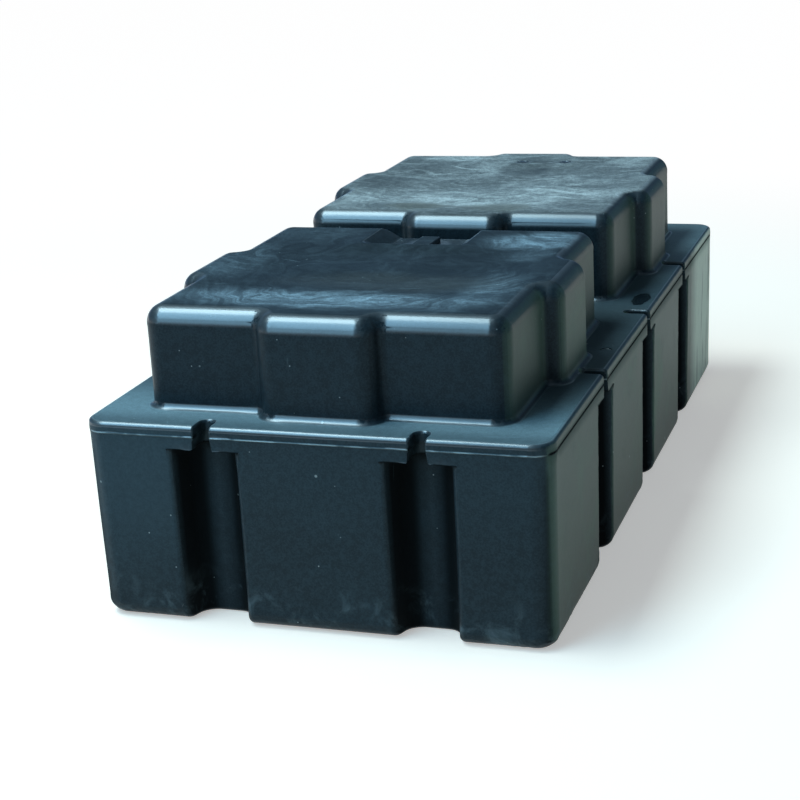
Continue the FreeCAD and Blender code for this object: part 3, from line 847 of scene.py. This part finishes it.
# %% Haze and dirt on what looks up
SPILL_CENTRE, SPILL_HALF = (0.279, 0.074), (0.015, 0.045)


def top_layers(graph, at, wall_cloud, grain_spots):
    """Shares of haze with painted sky reflection and light, and of dirt, on the tops and the ledge, and the
    mask of a wet spill on the ledge.
    """
    weather = use_group(graph, top_weather_and_reflection, {"Place": at.place})
    # On top of its haze, the ledge is painted paler at its front as painted sky reflection, and towards its
    # rear as painted light where the block shades it.
    front_end = graph.math("SUBTRACT", 0.50, graph.times(graph.ramp(at.along, -0.552, -0.600), 0.34))
    ledge_haze_and_light = graph.plus(0.21, graph.times(graph.ramp(at.along, -0.38, -0.54), front_end),
                            graph.times(graph.ramp(at.along, 0.10, 0.48), 0.40))
    cloudy = graph.plus(0.75, graph.times(graph.plus(wall_cloud, grain_spots), 0.25))
    ledge_haze_and_light = graph.times(ledge_haze_and_light, cloudy)
    both = graph.plus(graph.times(at.on_block, weather["Haze"]), graph.times(at.on_ledge, ledge_haze_and_light))
    spill = graph.times(oval(graph, at.place, SPILL_CENTRE, SPILL_HALF, 45.0), at.on_ledge)
    haze_and_reflection = graph.math("MULTIPLY", graph.times(at.upward, both), graph.rest(spill), clamp=True)
    return haze_and_reflection, graph.times(at.upward, at.on_block, weather["Dirt"]), spill


print("wet spill on the ledge at", SPILL_CENTRE)

# %% Dust and painted side light on the side
BLOOM_STARTS, BLOOM_FULL = 0.36, 0.45


def side_layers(graph, at, wall_cloud):
    """Shares of olive dust with painted side light on the faces that look right, and of the pale bloom with
    its run marks, which lies on the rearmost panel and is painted side light as well."""
    dust_and_side_light = graph.times(at.sideways, graph.plus(0.45, graph.times(wall_cloud, 0.5)), at.outside)
    run_place = graph.stretched(at.place, (1.0, 60.0, 5.0))
    run_marks = graph.ramp(graph.noise(run_place, 1.0, 4.0, 0.6), 0.32, 0.46)
    rearmost = graph.times(at.sideways, at.on_ledge, graph.ramp(at.along, BLOOM_STARTS, BLOOM_FULL))
    return dust_and_side_light, graph.times(rearmost, run_marks, at.outside, 0.85)


print("bloom on the right side starts", BLOOM_STARTS, "m behind the middle")

# %% Haze on the walls
VEIL_STARTS, VEIL_FULL = 0.10, 0.235


def wall_layer(graph, at, wall_cloud, mottle, grain_spots):
    """Share of haze on the walls: thin clouds, dust on the left of the front, and a veil that is denser
    just under the ledge."""
    clouds = graph.times(at.wall, graph.times(wall_cloud, graph.plus(0.02, graph.times(mottle, 0.12))))
    front_left = graph.times(graph.ramp(at.across, -0.08, -0.22), graph.ramp(at.to_rear, -0.5, -0.9))
    dusty = graph.times(front_left, graph.times(at.on_ledge, graph.ramp(at.height, 0.02, 0.16)))
    high_wall = graph.times(graph.ramp(at.height, VEIL_STARTS, VEIL_FULL), at.on_ledge)
    veil = graph.plus(graph.times(high_wall, 0.045), graph.times(grain_spots, 0.07))
    share = graph.plus(clouds, graph.times(dusty, 0.10), graph.times(veil, at.wall))
    return graph.times(share, at.outside)


print("veil on the walls is full at", VEIL_FULL, "m")

# %% Scratches, rubbed places and specks
RUBBED_UP_TO = 0.09


def scratch_layer(graph, at):
    """Share of scratches: crossing ones on the tops, and fainter upright drag marks on the walls."""
    swirl = use_group(graph, scratches, {"Place": at.place, "Turn": 0.35, "Amount": 0.75, "Seed": 3.0})
    cross = use_group(graph, scratches, {"Place": at.place, "Turn": 1.25, "Amount": 0.65, "Seed": 9.0})
    on_tops = graph.times(graph.larger(swirl["Mask"], cross["Mask"]), at.upward)
    drag_place = graph.stretched(at.place, (1.0, 1.0, 1.0), (0, 1.5708, 0))
    drag = use_group(graph, scratches, {"Place": drag_place, "Turn": 1.45, "Amount": 0.42, "Seed": 5.0})
    return graph.larger(on_tops, graph.times(drag["Mask"], at.wall, 0.45))


def rubbed_layer(graph, at, mottle):
    """Share of pale rubbing: near the ground, and faintly on all rounded edges."""
    near_ground = graph.rest(graph.ramp(at.height, 0.0, RUBBED_UP_TO))
    return graph.math("ADD", graph.times(near_ground, mottle, 0.35), graph.times(at.edge, mottle, 0.12),
                      clamp=True)


def speck_layer(graph, at):
    """Share of pale specks, many small ones and a few larger ones."""
    small = use_group(graph, specks, {"Place": at.place, "Spacing": 0.016, "Size": 0.0013, "Share": 0.25})
    large = use_group(graph, specks, {"Place": at.place, "Spacing": 0.060, "Size": 0.0024, "Share": 0.35})
    return graph.times(graph.larger(small["Mask"], large["Mask"]), 0.55)


print("rubbed pale up to", RUBBED_UP_TO, "m above the ground")

# %% Gloss of the shell
DIP_STARTS = TOP - 0.012


def shell_gloss(graph, at):
    """Weight of the clear coat, the mould's smooth skin: on rounded edges that look up and in the dip,
    with none in the grooves or on the flat tops and ledge, and hardly any on the rubbed right side."""
    rounded = graph.larger(graph.ramp(at.edge, 0.02, 0.09), graph.ramp(at.hollow, 0.03, 0.16))
    rubbed_side = graph.times(graph.ramp(at.to_right, 0.15, 0.55), 0.9)
    polished = graph.rest(graph.larger(at.recess, rubbed_side))
    gloss = graph.times(graph.plus(0.03, graph.times(rounded, 0.95)), polished, at.looks_up)
    leaning = graph.ramp(at.to_sky, 0.998, 0.970)
    in_dip = graph.times(graph.math("LESS_THAN", at.height, DIP_STARTS), at.on_block)
    return graph.times(gloss, graph.larger(leaning, in_dip))


print("the dip lies below", round(DIP_STARTS, 4), "m")

# %% Black polyethylene
def black_polyethylene():
    """Finish of the shell: black, with painted groove and crease shade, haze with painted sky reflection,
    dirt, dust with painted side light, scuffs, specks and a painted fin highlight laid over it one by one.
    """
    material, graph = empty_material("black polyethylene")
    at = ShellPlaces(graph)
    grain_spots = use_group(graph, speckle, {"Place": at.place})["Value"]
    wall_cloud = use_group(graph, haze, {"Place": at.place, "Scale": 6.5, "Cover": 0.5})["Mask"]
    mottle = use_group(graph, haze, {"Place": at.place, "Scale": 30.0, "Cover": 0.45})["Mask"]
    haze_and_reflection, dirty, spill = top_layers(graph, at, wall_cloud, grain_spots)
    # The side shares are dust and bloom with painted side light.
    dusty, bloom_and_side_light = side_layers(graph, at, wall_cloud)
    scratched = scratch_layer(graph, at)

    # Painted shade: the groove insides and the rims under their heads go towards a near black.
    colour = graph.mix(at.recess, BLACK, GROOVE_SHADE_BLACK)
    # Haze with painted sky reflection on the tops and the ledge, bluer in front.
    haze_and_reflection_colour = graph.mix(graph.ramp(at.along, -0.03, 0.03), FRONT_HAZE_AND_REFLECTION, REAR_HAZE_AND_REFLECTION)
    colour = graph.mix(haze_and_reflection, colour, graph.mix(at.on_ledge, haze_and_reflection_colour, LEDGE_HAZE_AND_REFLECTION))
    colour = graph.mix(dirty, colour, TOP_DIRT)
    # Dust with painted side light on the faces that look right, and a paler tone with run marks on the
    # rearmost right panel.
    colour = graph.mix(dusty, colour, SIDE_DUST_AND_LIGHT)
    colour = graph.mix(bloom_and_side_light, colour, SIDE_BLOOM_AND_LIGHT)
    colour = graph.mix(wall_layer(graph, at, wall_cloud, mottle, grain_spots), colour, WALL_HAZE)
    colour = graph.mix(graph.times(scratched, 0.5), colour, SCUFF)
    colour = graph.mix(rubbed_layer(graph, at, mottle), colour, SCUFF)
    colour = graph.mix(speck_layer(graph, at), colour, SPECK)
    # Painted highlight along the proud fin, broken up by noise.
    broken = graph.times(graph.ramp(graph.noise(at.place, 38.0, 3.0), 0.42, 0.58), 0.5)
    colour = graph.mix(graph.times(at.flash, graph.plus(0.2, broken)), colour, FIN_HIGHLIGHT)
    # Painted shade in hollows that don't look up, mixed towards near black together with the dark parting
    # groove on the sides.
    shaded = graph.times(at.hollow, 0.5, graph.rest(at.looks_up))
    colour = graph.mix(graph.larger(at.seam, shaded), colour, SEAM_AND_CREASE_SHADE)

    rough = graph.plus(0.40, graph.times(haze_and_reflection, 0.10), graph.times(dusty, 0.15), graph.times(scratched, 0.18),
                       graph.times(graph.larger(at.recess, at.seam), 0.50), graph.times(mottle, 0.04))
    rough = graph.math("SUBTRACT", rough, graph.times(spill, 0.16), clamp=True)
    grain = use_group(graph, mould_grain, {"Place": at.place, "Size": 1.0})["Height"]
    relief = graph.math("SUBTRACT", grain, graph.times(scratched, 0.9))
    relief = graph.times(relief, graph.rest(graph.times(spill, 0.9)))
    bump = graph.node("ShaderNodeBump", {"Height": relief, "Strength": 0.32, "Distance": 0.0005})
    show_plastic(graph, colour, rough, bump, shell_gloss(graph, at), GLOSS_IOR)
    return material


shell_finish = black_polyethylene()
shell_mesh.materials.append(shell_finish)
print("shell finish has", len(shell_finish.node_tree.nodes), "nodes")

# %% [markdown]
# ## The plugs
# The filling plugs are snapped in after foaming. Their shape in the packed model is right, so they keep it
# and get their own finish: the same black plastic, smoother and cleaner, with light scuffs and dirt.

# %% Plug plastic
def plug_plastic():
    """Finish of the two plugs: smooth black with light scuffs and a little dirt."""
    material, graph = empty_material("plug plastic")
    place = graph.node("ShaderNodeTexCoord").outputs["Object"]
    dirt = use_group(graph, haze, {"Place": place, "Scale": 90.0, "Cover": 0.5})["Mask"]
    scuff = use_group(graph, scratches, {"Place": place, "Turn": 0.7, "Amount": 0.6, "Seed": 1.0})["Mask"]
    colour = graph.mix(graph.times(dirt, 0.45), BLACK, WALL_HAZE)
    colour = graph.mix(graph.times(scuff, 0.4), colour, SCUFF)
    rough = graph.plus(0.17, graph.times(dirt, 0.18))
    grain = use_group(graph, mould_grain, {"Place": place, "Size": 0.6})["Height"]
    bump = graph.node("ShaderNodeBump", {"Height": grain, "Strength": 0.2, "Distance": 0.0003})
    show_plastic(graph, colour, rough, bump, PLUG_COAT, PLASTIC_IOR)
    return material


plug_finish = plug_plastic()
for name in ("filling_plug_left", "filling_plug_right"):
    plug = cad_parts[name]
    plug.data.materials.clear()
    plug.data.materials.append(plug_finish)
print("plugs finished")

# %% [markdown]
# ## The floor
# The float stands on white. A plain white world would light it from all sides and wash its black out. So
# the floor itself is pale near the float, where it keeps the shadow, and turns into a white farther off
# that only the camera and the reflections see, and that sheds no light on the part.

# %% Floor
FLOOR_HALF = 14.0
floor_mesh = bpy.data.meshes.new("floor")
corners = [(FLOOR_HALF * a, FLOOR_HALF * b, 0) for a, b in ((-1, -1), (1, -1), (1, 1), (-1, 1))]
floor_mesh.from_pydata(corners, [], [(0, 1, 2, 3)])
floor = bpy.data.objects.new("floor", floor_mesh)
bpy.context.scene.collection.objects.link(floor)

FLOOR_COLOUR = (1.0, 0.79, 0.65, 1)
FAR_COLOUR = (0.02, 0.02, 0.02, 1)
NEAR_GLOW = 0.40
FAR_GLOW = 0.99
NEAR, FAR = 0.9, 2.6


def floor_finish():
    """White floor: near the float it is a pale colour that keeps the shadow, and farther off it passes
    into a plain white, which the camera and the reflections see."""
    material, graph = empty_material("pale floor")
    place = graph.node("ShaderNodeTexCoord").outputs["Object"]
    away = graph.node("ShaderNodeVectorMath", {0: place}, operation="LENGTH").outputs["Value"]
    far = graph.ramp(away, NEAR, FAR)
    matt = graph.node("ShaderNodeBsdfDiffuse", {"Color": graph.mix(far, FLOOR_COLOUR, FAR_COLOUR)})
    ray = graph.node("ShaderNodeLightPath")
    mirrored = graph.larger(ray.outputs["Is Glossy Ray"], ray.outputs["Is Transmission Ray"])
    seen = graph.larger(ray.outputs["Is Camera Ray"], mirrored)
    glow = graph.plus(NEAR_GLOW, graph.times(far, FAR_GLOW - NEAR_GLOW))
    white = graph.node("ShaderNodeEmission", {"Color": (1, 1, 1, 1), "Strength": graph.times(seen, glow)})
    both = graph.node("ShaderNodeAddShader", {0: matt.outputs[0], 1: white.outputs[0]})
    show(graph, both.outputs[0])
    return material


floor_mesh.materials.append(floor_finish())
print("floor is", 2 * FLOOR_HALF, "m wide and white from", FAR, "m off")

# %% [markdown]
# ## The lamps
# Black plastic shows only what it reflects, so the light matters more than the colour. A rounded edge
# mirrors a whole arc of the room: its top shows what hangs overhead, its foot what stands low in front.
# So a row of soft boxes hangs along that arc, brightest overhead and weaker towards the front, and draws
# the band of light along each edge.

# %% Lamps
LAMP_DISTANCE = 6.0


def panel(name, forward, aside, depth, width, radiance, colour):
    """Soft lamp in a direction from the float. Its lean forward, its lean to the left, its depth and its
    width are angles in degrees as the float sees it, and its power is pi * area * radiance."""
    lean, left = math.radians(forward), math.radians(aside)
    direction = Vector((-math.sin(left), -math.cos(left) * math.sin(lean), math.cos(left) * math.cos(lean)))
    lamp = bpy.data.lights.new(name, "AREA")
    lamp.shape = "RECTANGLE"
    lamp.size = 2 * LAMP_DISTANCE * math.tan(math.radians(width / 2))
    lamp.size_y = 2 * LAMP_DISTANCE * math.tan(math.radians(depth / 2))
    lamp.energy = math.pi * lamp.size * lamp.size_y * radiance
    lamp.color = colour
    item = bpy.data.objects.new(name, lamp)
    bpy.context.scene.collection.objects.link(item)
    item.location = direction * LAMP_DISTANCE
    upward = Vector((0, math.cos(lean), math.sin(lean)))
    sideways = upward.cross(direction).normalized()
    item.rotation_euler = Matrix((sideways, direction.cross(sideways), direction)).transposed().to_euler()


# Each lamp is its lean forward, its depth, its radiance and its colour.
OVERHEAD_COLOUR = (0.60, 0.88, 1.0)
FRONT_COLOUR = (0.36, 0.72, 1.0)
SOFT_BOXES = ((-14, 12, 1.6, OVERHEAD_COLOUR), (8, 28, 11.5, OVERHEAD_COLOUR),
              (36, 28, 6.0, FRONT_COLOUR), (66, 32, 2.8, FRONT_COLOUR))
LAMP_ASIDE, LAMP_WIDTH = 22, 22
for number, (lean, depth, radiance, colour) in enumerate(SOFT_BOXES):
    panel("soft box " + str(number + 1), lean, LAMP_ASIDE, depth, LAMP_WIDTH, radiance, colour)
print(len(SOFT_BOXES), "soft boxes, from behind the top to low in front")

# %% [markdown]
# ## The sky
# The flat tops mirror the air just above the horizon, at a grazing angle, and the walls mirror what lies
# in front. So the sky is dim and blue overhead, and a little brighter in a band along the horizon.

# %% Sky
HORIZON_REAR = (0.10, 0.20, 0.36, 1)
HORIZON_FRONT = (0.16, 0.22, 0.26, 1)
SKY = (0.10, 0.15, 0.19, 1)
GLOW_LOW, GLOW_HIGH = 0.12, 0.34
FRONT_ENDS, REAR_STARTS = -0.3, 0.5


def sky_world():
    """Sky: a dim blue overhead and a brighter band along the horizon, bluer behind the float."""
    world = bpy.data.worlds.new("sky")
    world.use_nodes = True
    world.node_tree.nodes.clear()
    graph = Graph(world.node_tree)
    looked_at = graph.node("ShaderNodeTexCoord").outputs["Generated"]
    direction = graph.parts(looked_at)
    low = graph.rest(graph.ramp(direction[2], GLOW_LOW, GLOW_HIGH))
    rear = graph.ramp(direction[1], FRONT_ENDS, REAR_STARTS)
    horizon = graph.mix(rear, HORIZON_FRONT, HORIZON_REAR)
    background = graph.node("ShaderNodeBackground", {"Color": graph.mix(low, SKY, horizon),
                                                     "Strength": 1.0})
    output = graph.node("ShaderNodeOutputWorld")
    graph.feed(output.inputs["Surface"], background.outputs[0])
    return world


bpy.context.scene.world = sky_world()
print("sky has", len(bpy.context.scene.world.node_tree.nodes), "nodes")

# %% [markdown]
# ## The camera
# The camera is given as the fit to known edges of the float gave it: where it stands round the origin,
# its roll, its distance, and its lens as a focal length in pixels of an 800 pixel picture. The origin is
# not in the middle of the picture, so the camera is moved sideways and down, and its lens isn't shifted.

# %% Camera
CAMERA_AZIMUTH = math.radians(19.0)
CAMERA_ELEVATION = math.radians(17.42)
CAMERA_ROLL = math.radians(-3.12)
CAMERA_DISTANCE = 2.79563
CAMERA_ASIDE = 0.0884
CAMERA_DOWN = 0.1114
FOCAL_PIXELS = 1796.66
IMAGE_PIXELS = 800
SENSOR_WIDTH = 36.0
FARTHEST_SEEN = 60.0


def viewing_camera():
    """Camera from its azimuth and elevation round the origin, its roll, its distance, and how far aside
    and down the origin lies in its picture."""
    back = Vector((math.sin(CAMERA_AZIMUTH) * math.cos(CAMERA_ELEVATION),
                   -math.cos(CAMERA_AZIMUTH) * math.cos(CAMERA_ELEVATION), math.sin(CAMERA_ELEVATION)))
    right = (-back).cross(Vector((0, 0, 1))).normalized()
    down = (-back).cross(right)
    turned_right = math.cos(CAMERA_ROLL) * right - math.sin(CAMERA_ROLL) * down
    turned_down = math.sin(CAMERA_ROLL) * right + math.cos(CAMERA_ROLL) * down
    place = back * CAMERA_DISTANCE - turned_right * CAMERA_ASIDE - turned_down * CAMERA_DOWN
    lens = bpy.data.cameras.new("camera")
    lens.sensor_width = SENSOR_WIDTH
    lens.lens = FOCAL_PIXELS * SENSOR_WIDTH / IMAGE_PIXELS
    lens.clip_end = FARTHEST_SEEN
    item = bpy.data.objects.new("camera", lens)
    bpy.context.scene.collection.objects.link(item)
    axes = Matrix((turned_right, -turned_down, back)).transposed()
    item.matrix_world = Matrix.Translation(place) @ axes.to_4x4()
    return item


camera = viewing_camera()
bpy.context.scene.camera = camera
bpy.context.scene.view_settings.view_transform = "Standard"
print("camera at", [round(v, 3) for v in camera.location], "lens", round(camera.data.lens, 2), "mm")

# %% [markdown]
# ## Sizes
# The dressed part has to stay inside the packed one. The packed box is written down.

# %% Write down the packed size
bpy.context.view_layer.update()


def plain(box):
    """A box as plain lists of numbers."""
    return [[float(v) for v in corner] for corner in box]


print("packed box", plain(cad_box))
